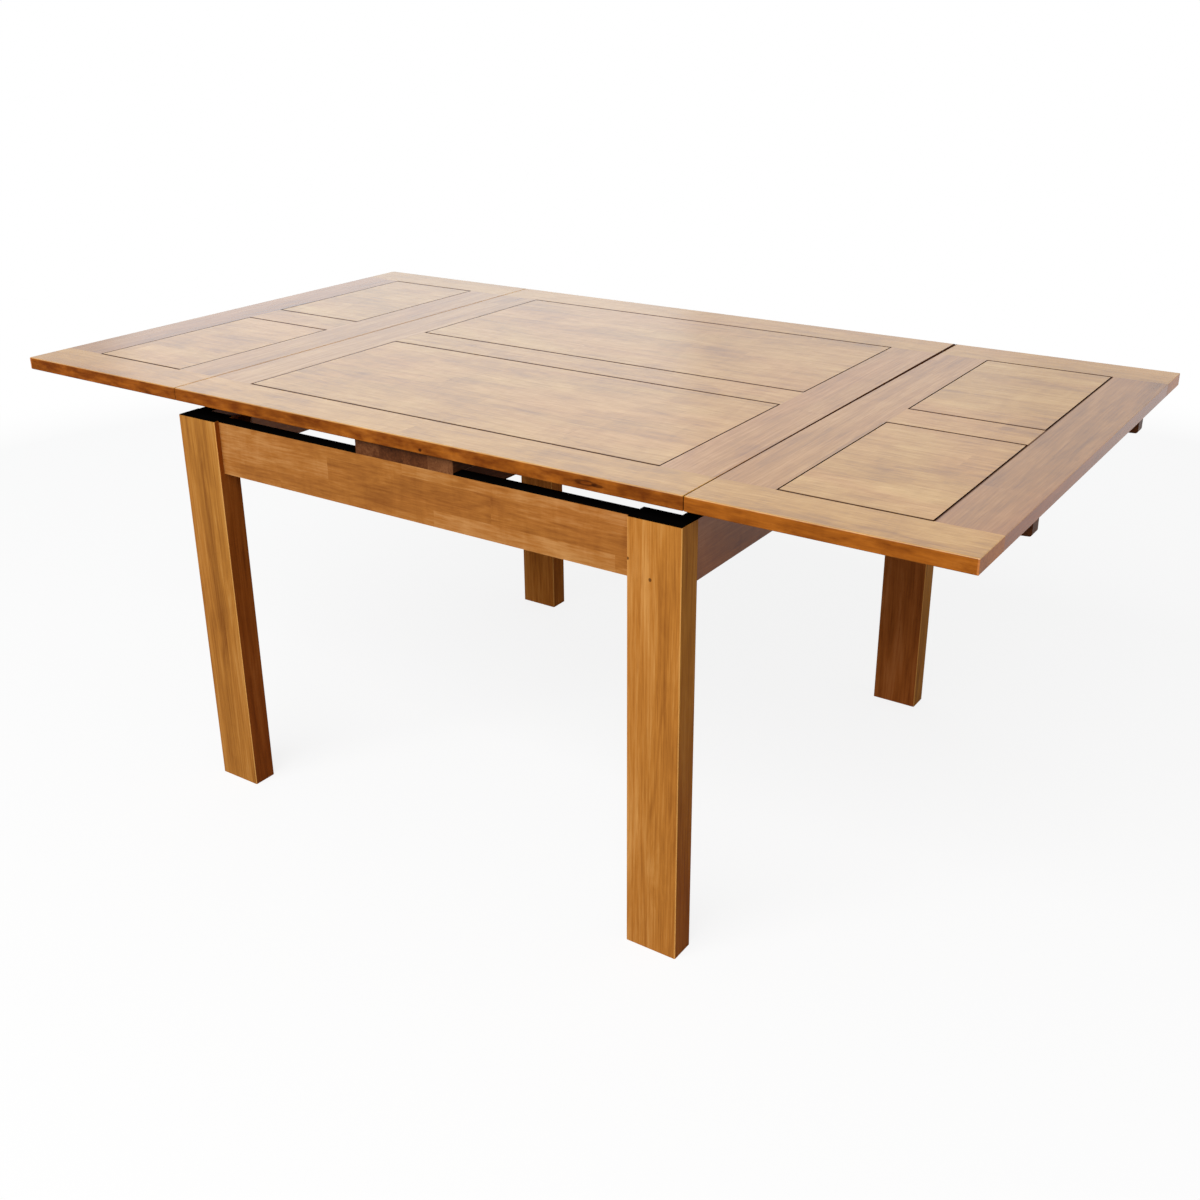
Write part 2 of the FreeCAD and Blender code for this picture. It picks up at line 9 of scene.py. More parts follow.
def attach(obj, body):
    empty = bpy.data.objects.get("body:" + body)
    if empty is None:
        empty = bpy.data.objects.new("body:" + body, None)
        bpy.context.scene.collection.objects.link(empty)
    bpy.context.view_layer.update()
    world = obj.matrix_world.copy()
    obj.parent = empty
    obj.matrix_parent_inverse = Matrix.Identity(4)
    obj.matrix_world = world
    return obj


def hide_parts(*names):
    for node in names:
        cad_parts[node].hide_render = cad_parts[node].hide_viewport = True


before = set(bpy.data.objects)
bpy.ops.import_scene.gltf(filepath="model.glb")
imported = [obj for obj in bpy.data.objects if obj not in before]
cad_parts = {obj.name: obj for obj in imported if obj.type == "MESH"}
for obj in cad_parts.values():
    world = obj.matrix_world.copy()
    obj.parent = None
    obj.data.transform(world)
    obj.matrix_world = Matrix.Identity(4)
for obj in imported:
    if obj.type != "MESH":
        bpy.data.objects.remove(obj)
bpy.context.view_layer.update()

# Where the photographer stood, in metres and degrees, and how long the lens is

IMAGE_SIDE = 1200
FOCAL_PIXELS = 1363.0
CAMERA_PLACE = Vector((1.352, -1.959, 1.356))
CAMERA_YAW = -34.27
CAMERA_PITCH = 22.38
CAMERA_ROLL = -0.52
OPTICAL_CENTRE = (594.2, 558.6)


def place_camera():
    """Set up the camera at the photograph's viewing angle."""
    yaw, pitch, roll = (math.radians(a) for a in (CAMERA_YAW, CAMERA_PITCH, CAMERA_ROLL))
    ahead = Vector((math.sin(yaw) * math.cos(pitch), math.cos(yaw) * math.cos(pitch),
                    -math.sin(pitch)))
    right = Vector((math.cos(yaw), -math.sin(yaw), 0))
    up = right.cross(ahead)
    rolled_right = right * math.cos(roll) + up * math.sin(roll)
    rolled_up = up * math.cos(roll) - right * math.sin(roll)
    lens = bpy.data.cameras.new("camera")
    lens.sensor_width = 36
    lens.lens = FOCAL_PIXELS / IMAGE_SIDE * lens.sensor_width
    lens.shift_x = (IMAGE_SIDE / 2 - OPTICAL_CENTRE[0]) / IMAGE_SIDE
    lens.shift_y = (OPTICAL_CENTRE[1] - IMAGE_SIDE / 2) / IMAGE_SIDE
    camera = bpy.data.objects.new("camera", lens)
    turn = Matrix((rolled_right, rolled_up, -ahead)).transposed().to_4x4()
    camera.matrix_world = Matrix.Translation(CAMERA_PLACE) @ turn
    bpy.context.scene.collection.objects.link(camera)
    bpy.context.scene.camera = camera


# Small helpers for node trees

def node(tree, kind, values=None, **settings):
    """Add a node, with its settings, and link or set the named inputs."""
    made = tree.nodes.new(kind)
    for name, setting in settings.items():
        setattr(made, name, setting)
    give(tree, made, values or {})
    return made


def give(tree, made, values):
    """Link or set the named inputs of a node."""
    for name, value in values.items():
        socket = made.inputs[name]
        if isinstance(value, bpy.types.NodeSocket):
            tree.links.new(value, socket)
        else:
            socket.default_value = value


def maths(tree, operation, *terms):
    """The output of one Math node."""
    return node(tree, "ShaderNodeMath", dict(enumerate(terms)), operation=operation).outputs[0]


def vector_maths(tree, operation, *terms):
    """The outputs of one Vector Math node."""
    return node(tree, "ShaderNodeVectorMath", dict(enumerate(terms)),
                operation=operation).outputs


def ramp(tree, value, start, end, low=0.0, high=1.0, way="LINEAR"):
    """A number that goes from low to high while a value goes from start to end."""
    return node(tree, "ShaderNodeMapRange", {
        "Value": value, "From Min": start, "From Max": end, "To Min": low, "To Max": high},
        interpolation_type=way).outputs[0]


def blend_colours(tree, share, first, second, blend_type="MIX"):
    """The colour that a share between two others gives."""
    mix = tree.nodes.new("ShaderNodeMix")
    mix.data_type = "RGBA"
    mix.blend_type = blend_type
    for socket, value in zip((mix.inputs[0], mix.inputs[6], mix.inputs[7]),
                             (share, first, second)):
        if isinstance(value, bpy.types.NodeSocket):
            tree.links.new(value, socket)
        else:
            socket.default_value = value
    return mix.outputs[2]


def start_group(name, inputs, outputs):
    """A shader node group with named sockets, and its two end nodes."""
    tree = bpy.data.node_groups.new(name, "ShaderNodeTree")
    for label, kind, preset in inputs:
        socket = tree.interface.new_socket(label, in_out="INPUT", socket_type=kind)
        if preset is not None:
            socket.default_value = preset
    for label, kind in outputs:
        tree.interface.new_socket(label, in_out="OUTPUT", socket_type=kind)
    return tree, tree.nodes.new("NodeGroupInput").outputs, tree.nodes.new("NodeGroupOutput").inputs


FLOAT, COLOUR, VECTOR = "NodeSocketFloat", "NodeSocketColor", "NodeSocketVector"


def colour(red, green, blue):
    """A colour given as the eye sees it, from 0 to 255, as a linear one."""
    parts = [c / 255 for c in (red, green, blue)]
    linear = [c / 12.92 if c <= 0.04045 else ((c + 0.055) / 1.055) ** 2.4 for c in parts]
    return (*linear, 1)


# Wood glued up from staves: the grain follows each stave and starts afresh in the next

BLUSH = (255, 230, 238)
STAVE_SHIFT = (5, 5, 5)
KNOT_TONE = (62, 30, 12)
KNOT_SQUEEZE = 0.55
KNOT_CORE = 0.0005


def lift_tone(tree, tone, value, strength):
    """Push a tone up and down by how far a value lies from its middle."""
    off = maths(tree, "SUBTRACT", value, 0.5)
    return maths(tree, "MULTIPLY_ADD", off, strength, tone)


def build_stave_group():
    """Colour, roughness and relief of stained wood, from its place in grain directions."""
    tree, given, result = start_group(
        "glued staves",
        [("Along", FLOAT, 0), ("Across", FLOAT, 0), ("Through", FLOAT, 0),
         ("Stave Width", FLOAT, 0.05), ("Stave Length", FLOAT, 0.5),
         ("Stave Contrast", FLOAT, 0.25), ("Streaks", FLOAT, 0.5), ("Fibres", FLOAT, 0.5),
         ("Clouds", FLOAT, 0.3), ("Blush", FLOAT, 0.3), ("Dark", COLOUR, None),
         ("Middle", COLOUR, None), ("Pale", COLOUR, None)],
        [("Color", COLOUR), ("Roughness", FLOAT), ("Height", FLOAT)])
    row = maths(tree, "FLOOR", maths(tree, "DIVIDE", given["Across"], given["Stave Width"]))
    row_chance = node(tree, "ShaderNodeTexWhiteNoise", {"W": row},
                      noise_dimensions="1D").outputs["Value"]
    run = maths(tree, "MULTIPLY_ADD", row_chance, 7.3,
                maths(tree, "DIVIDE", given["Along"], given["Stave Length"]))
    which = node(tree, "ShaderNodeCombineXYZ", {"X": row, "Y": maths(tree, "FLOOR", run)})
    chance = node(tree, "ShaderNodeTexWhiteNoise", {"Vector": which.outputs[0]},
                  noise_dimensions="2D")
    place = node(tree, "ShaderNodeCombineXYZ", {
        "X": given["Along"], "Y": given["Across"], "Z": given["Through"]}).outputs[0]
    stave = vector_maths(tree, "MULTIPLY_ADD", chance.outputs["Color"], STAVE_SHIFT, place)[0]

    def noise(source, stretch, detail, distortion):
        """Noise whose lumps are smaller, the larger the stretch is that way."""
        return node(tree, "ShaderNodeTexNoise", {
            "Vector": vector_maths(tree, "MULTIPLY", source, stretch)[0], "Scale": 1.0,
            "Detail": detail, "Roughness": 0.62, "Distortion": distortion}).outputs["Fac"]

    bands = noise(stave, (1.4, 17, 17), detail=3, distortion=0.6)
    streaks = noise(stave, (9, 46, 46), detail=4, distortion=0.9)
    fibres = noise(stave, (20, 300, 300), detail=4, distortion=0)
    ripples = noise(place, (26, 7, 7), detail=3, distortion=1.2)
    clouds = noise(place, (5, 9, 9), detail=3, distortion=0.8)
    pores = noise(stave, (70, 1300, 1300), detail=1, distortion=0)
    tone = lift_tone(tree, 0.5, chance.outputs["Value"], given["Stave Contrast"])
    tone = lift_tone(tree, tone, bands, maths(tree, "MULTIPLY", given["Streaks"], 0.55))
    tone = lift_tone(tree, tone, streaks, given["Streaks"])
    tone = lift_tone(tree, tone, fibres, given["Fibres"])
    tone = lift_tone(tree, tone, ripples, maths(tree, "MULTIPLY", given["Clouds"], 0.5))
    tone = lift_tone(tree, tone, clouds, given["Clouds"])
    low = node(tree, "ShaderNodeClamp", {"Value": maths(tree, "MULTIPLY", tone, 2.0)})
    high = node(tree, "ShaderNodeClamp",
                {"Value": maths(tree, "MULTIPLY_ADD", tone, 2.0, -1.0)})
    lower = blend_colours(tree, low.outputs[0], given["Dark"], given["Middle"])
    body = blend_colours(tree, high.outputs[0], lower, given["Pale"])
    pore = ramp(tree, pores, 0.58, 0.70, high=0.25)
    body = blend_colours(tree, pore, body, given["Dark"])
    warmth = ramp(tree, noise(place, (1.7, 4, 4), detail=3, distortion=1.0), 0.4, 0.62,
                  high=given["Blush"])
    tree.links.new(blend_colours(tree, warmth, body, colour(*BLUSH), "MULTIPLY"), result["Color"])
    tree.links.new(maths(tree, "MULTIPLY_ADD", fibres, 0.14, 0.27), result["Roughness"])
    tree.links.new(maths(tree, "MULTIPLY_ADD", fibres, 0.5,
                         maths(tree, "MULTIPLY", pore, -1.2)), result["Height"])
    return tree


def build_knot_group():
    """A sparse scatter of small dark knots, each drawn out along the grain."""
    tree, given, result = start_group(
        "scattered knots",
        [("Along", FLOAT, 0), ("Across", FLOAT, 0), ("Through", FLOAT, 0),
         ("Spacing", FLOAT, 0.2), ("Size", FLOAT, 0.004), ("Share", FLOAT, 0.5)],
        [("Mask", FLOAT)])
    drawn = maths(tree, "MULTIPLY", given["Along"], KNOT_SQUEEZE)
    place = node(tree, "ShaderNodeCombineXYZ", {
        "X": drawn, "Y": given["Across"], "Z": given["Through"]}).outputs[0]
    cells = node(tree, "ShaderNodeTexVoronoi", {
        "Vector": place, "Scale": maths(tree, "DIVIDE", 1.0, given["Spacing"])}).outputs
    reach = maths(tree, "MULTIPLY", cells["Distance"], given["Spacing"])
    spot = ramp(tree, reach, given["Size"], KNOT_CORE, way="SMOOTHSTEP")
    picked = node(tree, "ShaderNodeSeparateColor", {0: cells["Color"]}).outputs[0]
    kept = maths(tree, "LESS_THAN", picked, given["Share"])
    tree.links.new(maths(tree, "MULTIPLY", spot, kept), result["Mask"])
    return tree


def build_lone_knot_group():
    """One oval knot at a place on the table: its whole spot, and the pale heart inside its rim."""
    tree, given, result = start_group(
        "lone knot", [("Place", VECTOR, None), ("Centre", VECTOR, None), ("Radii", VECTOR, None)],
        [("Spot", FLOAT), ("Heart", FLOAT)])
    off = vector_maths(tree, "SUBTRACT", given["Place"], given["Centre"])[0]
    ripple = node(tree, "ShaderNodeTexNoise", {"Vector": given["Place"], "Scale": 160.0,
                                               "Detail": 2.0}).outputs["Fac"]
    in_radii = vector_maths(tree, "DIVIDE", off, given["Radii"])[0]
    far = lift_tone(tree, vector_maths(tree, "LENGTH", in_radii)["Value"], ripple, 0.5)
    for label, inner, outer in (("Spot", 0.8, 1.15), ("Heart", 0.4, 0.62)):
        tree.links.new(ramp(tree, far, outer, inner, way="SMOOTHSTEP"), result[label])
    return tree


# Lines of the table's top, in metres from its middle

TOP_HEIGHT = 0.75
EDGE_STARTS = 0.0004
EDGE_IS_FULL = 0.0016
GROOVE_BED = 0.018
SEAM_PLACE = 0.5005
GROOVES_ALONG = (0.0437, 0.4108)
PANEL_ENDS = ((0.0, 0.41), (0.591, 0.81))
PANEL_FIELD = (0.895, 0.42)
OUTER_LINE = 0.8102
OUTER_LINE_HALF = 0.411
OUTER_END = 0.8975
FLAT = 0.00005
SEAM_CLEARANCE = 0.004
SEAM_ARRIS = 0.0025
# Widths and strengths of the painted shade in the seams, beside the grooves and along the outer
# line.
SEAM_REACH = (0.0007, 0.0036)
SEAM_SHADE_STRENGTHS = (0.35, 0.95)
GROOVE_SHADE_FADE = (0.0031, 0.0021)
OUTER_LINE_SHADE_FADE = (0.0021, 0.0009)


def build_board_group():
    """Masks of a board: its upper face, outer end, painted shade lines, mottled edges and seams.

    The lines are painted shade: on the walls of the grooves round the panels, on the top beside
    some of them, and in the seams between top and leaves, the right one of which darkens towards
    the back. On the right leaf the edges lean to their lighter colour, a painted light.
    """
    tree, given, result = start_group(
        "board faces", [("Place", VECTOR, None)],
        [("Upper Face", FLOAT), ("Outer End", FLOAT), ("Shade Line", FLOAT), ("Mottle And Light", FLOAT),
         ("Seam Side", FLOAT)])
    axes = node(tree, "ShaderNodeSeparateXYZ", {0: given["Place"]}).outputs
    depth = maths(tree, "SUBTRACT", TOP_HEIGHT, axes[2])
    far_x, far_y = (maths(tree, "ABSOLUTE", axes[i]) for i in (0, 1))
    upper = ramp(tree, depth, EDGE_IS_FULL, EDGE_STARTS)
    from_seam = maths(tree, "ABSOLUTE", maths(tree, "SUBTRACT", far_x, SEAM_PLACE))
    # Painted shade: the walls of the grooves round the panels are marked dark.
    groove_shade = maths(tree, "GREATER_THAN", depth, FLAT)
    for mask in (maths(tree, "LESS_THAN", depth, GROOVE_BED),
                 maths(tree, "LESS_THAN", far_x, PANEL_FIELD[0]),
                 maths(tree, "LESS_THAN", far_y, PANEL_FIELD[1]),
                 maths(tree, "GREATER_THAN", from_seam, SEAM_CLEARANCE)):
        groove_shade = maths(tree, "MULTIPLY", groove_shade, mask)
    # Painted shade on the top beside the long grooves, along the panels.
    from_groove = [maths(tree, "ABSOLUTE", maths(tree, "SUBTRACT", far_y, line))
                   for line in GROOVES_ALONG]
    stain_and_painted_light = ramp(tree, maths(tree, "MINIMUM", *from_groove), *GROOVE_SHADE_FADE, high=0.75)
    beside = [maths(tree, "MULTIPLY", maths(tree, "GREATER_THAN", far_x, near_end),
                    maths(tree, "LESS_THAN", far_x, far_end))
              for near_end, far_end in PANEL_ENDS]
    stain_and_painted_light = maths(tree, "MULTIPLY", stain_and_painted_light, maths(tree, "ADD", *beside))
    # Painted shade in the seams between top and leaves; the right one is darker and widens towards
    # the back.
    right = maths(tree, "GREATER_THAN", axes[0], 0.0)
    from_front = maths(tree, "ADD", axes[1], 0.5)
    reach = ramp(tree, maths(tree, "MULTIPLY", from_front, right), 0.0, 1.0, *SEAM_REACH)
    seam_shade_strength = ramp(tree, right, 0.0, 1.0, *SEAM_SHADE_STRENGTHS)
    seam_shade = maths(tree, "MULTIPLY", maths(tree, "LESS_THAN", from_seam, reach), seam_shade_strength)
    # Painted shade beside the grooves at the right leaf's outer end.
    from_outer = maths(tree, "ABSOLUTE", maths(tree, "SUBTRACT", axes[0], OUTER_LINE))
    outer = ramp(tree, from_outer, *OUTER_LINE_SHADE_FADE, high=0.8)
    outer = maths(tree, "MULTIPLY", outer, maths(tree, "LESS_THAN", far_y, OUTER_LINE_HALF))
    stain_and_painted_light = maths(tree, "MAXIMUM", stain_and_painted_light, outer)
    line = maths(tree, "MAXIMUM", groove_shade, maths(tree, "MAXIMUM", stain_and_painted_light, seam_shade))
    blotches = node(tree, "ShaderNodeTexNoise", {
        "Vector": vector_maths(tree, "MULTIPLY", given["Place"], (22, 22, 60))[0],
        "Scale": 1.0, "Detail": 5.0, "Roughness": 0.6}).outputs["Fac"]
    # Painted light: the right leaf's edges lean to the lighter edge colour, as if lit from the
    # right.
    paler = maths(tree, "MULTIPLY", maths(tree, "GREATER_THAN", axes[0], SEAM_PLACE), 0.5)
    mottle_and_light = node(tree, "ShaderNodeClamp", {
        "Value": maths(tree, "ADD", ramp(tree, blotches, 0.35, 0.65), paler)})
    tree.links.new(upper, result["Upper Face"])
    tree.links.new(maths(tree, "GREATER_THAN", far_x, OUTER_END), result["Outer End"])
    tree.links.new(line, result["Shade Line"])
    tree.links.new(mottle_and_light.outputs[0], result["Mottle And Light"])
    tree.links.new(maths(tree, "LESS_THAN", from_seam, SEAM_ARRIS), result["Seam Side"])
    return tree


def build_arris_group():
    """Masks of rounded or chamfered arrises, and of the faces that look along the table."""
    tree, given, result = start_group(
        "arris", [("Normal", VECTOR, None)], [("Mask", FLOAT), ("Side", FLOAT)])
    parts = node(tree, "ShaderNodeSeparateXYZ", {0: given["Normal"]}).outputs
    most = maths(tree, "MAXIMUM", maths(tree, "ABSOLUTE", parts[0]),
                 maths(tree, "MAXIMUM", maths(tree, "ABSOLUTE", parts[1]),
                         maths(tree, "ABSOLUTE", parts[2])))
    tree.links.new(ramp(tree, most, 0.985, 0.86), result["Mask"])
    tree.links.new(ramp(tree, maths(tree, "ABSOLUTE", parts[0]), 0.7, 0.95), result["Side"])
    return tree


def start_material(name):
    """A new material, its node tree and its Principled BSDF."""
    made = bpy.data.materials.new(name)
    made.use_nodes = True
    tree = made.node_tree
    shader = next(n for n in tree.nodes if n.type == "BSDF_PRINCIPLED")
    return made, tree, shader


GRAIN_WAYS = {"x": "XYZ", "y": "YXZ", "z": "ZXY", "x upright": "XZY", "y upright": "YZX"}


def arris_highlight_tone(tone):
    """The colour of a painted highlight on an arris: a little lighter than the palest grain."""
    return [min(255, part * 1.12 + 6) for part in tone]


def stained_wood(name, way, staves, tones, amounts, gloss, knots=0.0, worn=0.3, board=False,
                 drawn_out=1.0, shade_tints=None, lone_knots=()):
    """Wood with its grain along one axis of the table, and its staves side by side across it.

    staves: width, length and contrast; amounts: streaks, fibres, clouds and blush;
    gloss: how much the bare wood reflects, and the lacquer on its faces, long edges and ends;
    worn: strength of the painted highlight on its arrises; drawn_out: how much longer its grain
    is;
    shade_tints: painted shade, low and high on faces looking along the table, and on the rest;
    lone_knots: centre, radii, strength and whether its heart is pale, for each knot.
    """
    made, tree, shader = start_material(name)
    place = node(tree, "ShaderNodeTexCoord").outputs
    axes = node(tree, "ShaderNodeSeparateXYZ", {0: place["Object"]}).outputs
    grain = dict(zip(("Along", "Across", "Through"),
                     (axes[letter] for letter in GRAIN_WAYS[way])))
    wood = node(tree, "ShaderNodeGroup", node_tree=STAVES)
    values = dict(grain, Along=maths(tree, "DIVIDE", grain["Along"], drawn_out))
    values.update(zip(("Stave Width", "Stave Length", "Stave Contrast"), staves))
    values.update(zip(("Streaks", "Fibres", "Clouds", "Blush"), amounts))
    values.update(zip(("Dark", "Middle", "Pale"), (colour(*tone) for tone in tones)))
    give(tree, wood, values)
    shade = wood.outputs["Color"]
    arris = node(tree, "ShaderNodeGroup", node_tree=ARRIS)
    give(tree, arris, {"Normal": place["Normal"]})
    # Painted shade: each leg darkened by its own amounts, by height on its faces that look along
    # the table
    if shade_tints:
        low, high, rest = (colour(*tint) for tint in shade_tints)
        along = blend_colours(tree, ramp(tree, axes[2], *LEG_SHADE_HEIGHTS), low, high)
        tint = blend_colours(tree, arris.outputs["Side"], rest, along)
        shade = blend_colours(tree, 1.0, shade, tint, "MULTIPLY")
    # Painted highlight: the arrises are coloured lighter, by as much as worn says.
    shade = blend_colours(tree, maths(tree, "MULTIPLY", arris.outputs["Mask"], worn), shade,
                          colour(*arris_highlight_tone(tones[2])))
    spots = node(tree, "ShaderNodeGroup", node_tree=KNOTS)
    give(tree, spots, {**grain, "Share": knots})
    shade = blend_colours(tree, maths(tree, "MULTIPLY", spots.outputs[0], 0.75), shade,
                          colour(*KNOT_TONE))
    for centre, radii, strength, pale_heart in lone_knots:
        knot = node(tree, "ShaderNodeGroup", node_tree=LONE_KNOT)
        give(tree, knot, {"Place": place["Object"], "Centre": centre, "Radii": radii})
        around = shade
        shade = blend_colours(tree, maths(tree, "MULTIPLY", knot.outputs["Spot"], strength),
                              shade, colour(*KNOT_TONE))
        if pale_heart:
            shade = blend_colours(tree, knot.outputs["Heart"], shade, around)
    bare, lacquer, edge_lacquer, end_lacquer = gloss
    coat = lacquer
    if board:
        faces = node(tree, "ShaderNodeGroup", node_tree=BOARD_FACES)
        give(tree, faces, {"Place": place["Object"]})
        upper = faces.outputs["Upper Face"]
        line = faces.outputs["Shade Line"]
        stain_and_painted_light = blend_colours(tree, faces.outputs["Mottle And Light"], *(colour(*c) for c in EDGE_STAINS))
        # Painted sheen: the edges of the outer ends get a lighter colour.
        stain_and_painted_light = blend_colours(tree, faces.outputs["Outer End"], stain_and_painted_light, colour(*OUTER_END_SHEEN))
        edge = blend_colours(tree, 1.0, shade, stain_and_painted_light, "MULTIPLY")
        shade = blend_colours(tree, upper, edge, shade)
        # Painted shade in the grooves, beside them and in the seams.
        shade = blend_colours(tree, line, shade, colour(*SHADE_LINE_TONE))
        coat = maths(tree, "MULTIPLY_ADD", faces.outputs["Outer End"],
                     end_lacquer - edge_lacquer, edge_lacquer)
        coat = maths(tree, "MAXIMUM", coat, maths(tree, "MULTIPLY", upper, lacquer))
        dull = maths(tree, "MULTIPLY", faces.outputs["Seam Side"], arris.outputs["Mask"])
        dull = maths(tree, "MAXIMUM", dull, line)
        coat = maths(tree, "MULTIPLY", coat, maths(tree, "SUBTRACT", 1.0, dull))
    bump = node(tree, "ShaderNodeBump", {"Height": wood.outputs["Height"], "Strength": 0.6,
                                         "Distance": 0.00007})
    give(tree, shader, {"Base Color": shade, "Roughness": wood.outputs["Roughness"],
                        "Normal": bump.outputs[0], "Coat Weight": coat,
                        "Coat Roughness": 0.27, "Coat IOR": 1.68, "Specular IOR Level": bare})
    return made


def black_felt():
    """Matt felt, almost without any gloss."""
    made, tree, shader = start_material("black felt")
    place = node(tree, "ShaderNodeTexCoord").outputs["Object"]
    fuzz = node(tree, "ShaderNodeTexNoise", {"Vector": place, "Scale": 900.0, "Detail": 3.0})
    shade = blend_colours(tree, fuzz.outputs["Fac"], colour(2, 2, 2), colour(9, 8, 8))
    bump = node(tree, "ShaderNodeBump", {"Height": fuzz.outputs["Fac"], "Distance": 0.0004})
    tree.links.new(shade, shader.inputs["Base Color"])
    tree.links.new(bump.outputs[0], shader.inputs["Normal"])
    give(tree, shader, {"Roughness": 1.0, "Specular IOR Level": 0.0})
    return made


def plated_steel():
    """Zinc plating, a little clouded."""
    made, tree, shader = start_material("plated steel")
    place = node(tree, "ShaderNodeTexCoord").outputs["Object"]
    cloud = node(tree, "ShaderNodeTexNoise", {"Vector": place, "Scale": 160.0, "Detail": 3.0})
    shade = blend_colours(tree, cloud.outputs["Fac"], colour(150, 150, 146),
                          colour(190, 188, 180))
    rough = maths(tree, "ADD", 0.28, maths(tree, "MULTIPLY", cloud.outputs["Fac"], 0.15))
    tree.links.new(shade, shader.inputs["Base Color"])
    tree.links.new(rough, shader.inputs["Roughness"])
    shader.inputs["Metallic"].default_value = 1.0
    return made


STAVES = build_stave_group()
KNOTS = build_knot_group()
LONE_KNOT = build_lone_knot_group()
BOARD_FACES = build_board_group()
ARRIS = build_arris_group()

# Colour of the painted shade in the grooves, beside them and in the seams.
SHADE_LINE_TONE = (58, 24, 10)
EDGE_STAINS = ((156, 108, 78), (224, 178, 136))
# A lighter colour for the edges of the outer ends: a painted sheen.
OUTER_END_SHEEN = (255, 205, 165)
EDGE_TONES = ((136, 88, 34), (189, 137, 60), (218, 172, 98))
END_TONES = ((122, 77, 39), (177, 125, 62), (209, 162, 101))
OUTER_END_TONES = ((114, 70, 36), (165, 113, 57), (196, 147, 93))
PANEL_TONES = ((134, 87, 34), (187, 136, 62), (217, 173, 101))
LEG_TONES = ((130, 74, 24), (184, 121, 49), (214, 158, 86))
# Painted shade on the legs: heights, and each leg's colours low, high and on other faces
LEG_SHADE_HEIGHTS = (0.12, 0.58)
LEG_SHADE_TINTS = {"leg_front_left": ((203, 160, 134), (208, 168, 142), (246, 249, 255)),
             "leg_front_right": ((215, 181, 134), (255, 252, 236), (252, 249, 250)),
             "leg_back_left": ((236, 206, 178), (240, 212, 186), (255, 236, 226)),
             "leg_back_right": ((255, 250, 218), (255, 252, 224), (240, 208, 216))}
LEG_KNOTS = (((0.4493, -0.499, 0.6173), (0.0024, 0.004, 0.0029), 0.75, False),
             ((0.4127, -0.499, 0.6417), (0.0022, 0.004, 0.0024), 0.75, False))
EDGE_KNOTS = (((0.0453, -0.5, 0.734), (0.003, 0.004, 0.0026), 0.85, False),
              ((0.344, -0.5, 0.7386), (0.0195, 0.02, 0.0042), 0.6, True),
              ((0.364, -0.5, 0.7376), (0.0105, 0.02, 0.0026), 0.65, False))
RAIL_TONES = ((118, 64, 24), (167, 106, 46), (198, 144, 86))
END_RAIL_TONES = ((110, 54, 20), (154, 89, 38), (183, 121, 74))
# Dark wood of the bearer, lopers, guides and braces, also a painted shade inside the frame
DARK_TONES = ((50, 24, 10), (89, 49, 25), (126, 80, 48))
DULL = (0.04, 0.0, 0.0, 0.0)
SATIN = (0.0, 1.0, 0.05, 0.7)
SATIN_ENDS = (0.0, 1.0, 0.05, 0.95)
FAINT_GLOSS = (0.3, 0.2, 0.2, 0.2)

FINISHES = {
    "edge board": stained_wood("edge board wood", "x", (0.1, 1.1, 0.08), EDGE_TONES,
                               (0.8, 0.8, 0.7, 0.3), SATIN, knots=0.3, worn=0.2, board=True,
                               lone_knots=EDGE_KNOTS),
    "end board": stained_wood("end board wood", "y", (0.045, 0.75, 0.12), END_TONES,
                              (0.9, 0.8, 0.7, 0.4), SATIN_ENDS, knots=0.1, worn=0.2,
                              board=True, drawn_out=1.9),
    "outer end board": stained_wood("outer end board wood", "y", (0.045, 0.75, 0.12),
                                    OUTER_END_TONES, (0.9, 0.8, 0.7, 0.4), SATIN_ENDS,
                                    knots=0.1, worn=0.2, board=True, drawn_out=1.9),
    "panel": stained_wood("panel wood", "x", (0.0615, 1.0, 0.14), PANEL_TONES,
                          (0.9, 0.8, 0.8, 0.4), SATIN, knots=0.1, worn=0.2, board=True),
    "rail": stained_wood("rail wood", "x upright", (0.0455, 0.33, 0.28), RAIL_TONES,
                         (0.7, 0.8, 0.8, 0.2), DULL, knots=0.2),
    "end rail": stained_wood("end rail wood", "y upright", (0.0455, 0.33, 0.28),
                             END_RAIL_TONES, (0.7, 0.8, 0.8, 0.2), FAINT_GLOSS, knots=0.2),
    "bearer": stained_wood("bearer wood", "y", (0.049, 0.6, 0.6), DARK_TONES,
                           (0.8, 1.0, 0.6, 0.0), DULL),
    "loper": stained_wood("loper wood", "x", (0.2, 2.0, 0.1), DARK_TONES,
                          (0.8, 1.0, 0.6, 0.0), DULL),
    "inner": stained_wood("inner wood", "y", (0.06, 0.6, 0.2), DARK_TONES,
                          (0.8, 1.0, 0.6, 0.0), DULL),
    "felt": black_felt(),
    "steel": plated_steel(),
}
for leg, leg_shade_tints in LEG_SHADE_TINTS.items():
    FINISHES[leg] = stained_wood(leg + " wood", "z", (0.1, 2.0, 0.1), LEG_TONES,
                                 (1.15, 0.9, 0.35, 0.2), DULL, knots=0.6, worn=0.6,
                                 drawn_out=2.4, shade_tints=leg_shade_tints, lone_knots=LEG_KNOTS)


def finish_of(name):
    """The finish that a CAD piece of this name gets."""
    for words, finish in (
            (("felt",), "felt"), (("screws", "bolts", "washers"), "steel"),
            (("loper", "stop"), "loper"), (("centre_bearer",), "bearer"),
            (("guide", "brace"), "inner"), (("end_rail",), "end rail"), (("rail",), "rail"),
            *(((leg,), leg) for leg in LEG_SHADE_TINTS), (("panel", "middle_board"), "panel"),
            (("outer_end_board",), "outer end board"), (("end_board",), "end board"),
            (("board",), "edge board")):
        if any(word in name for word in words):
            return FINISHES[finish]
    raise KeyError(name)


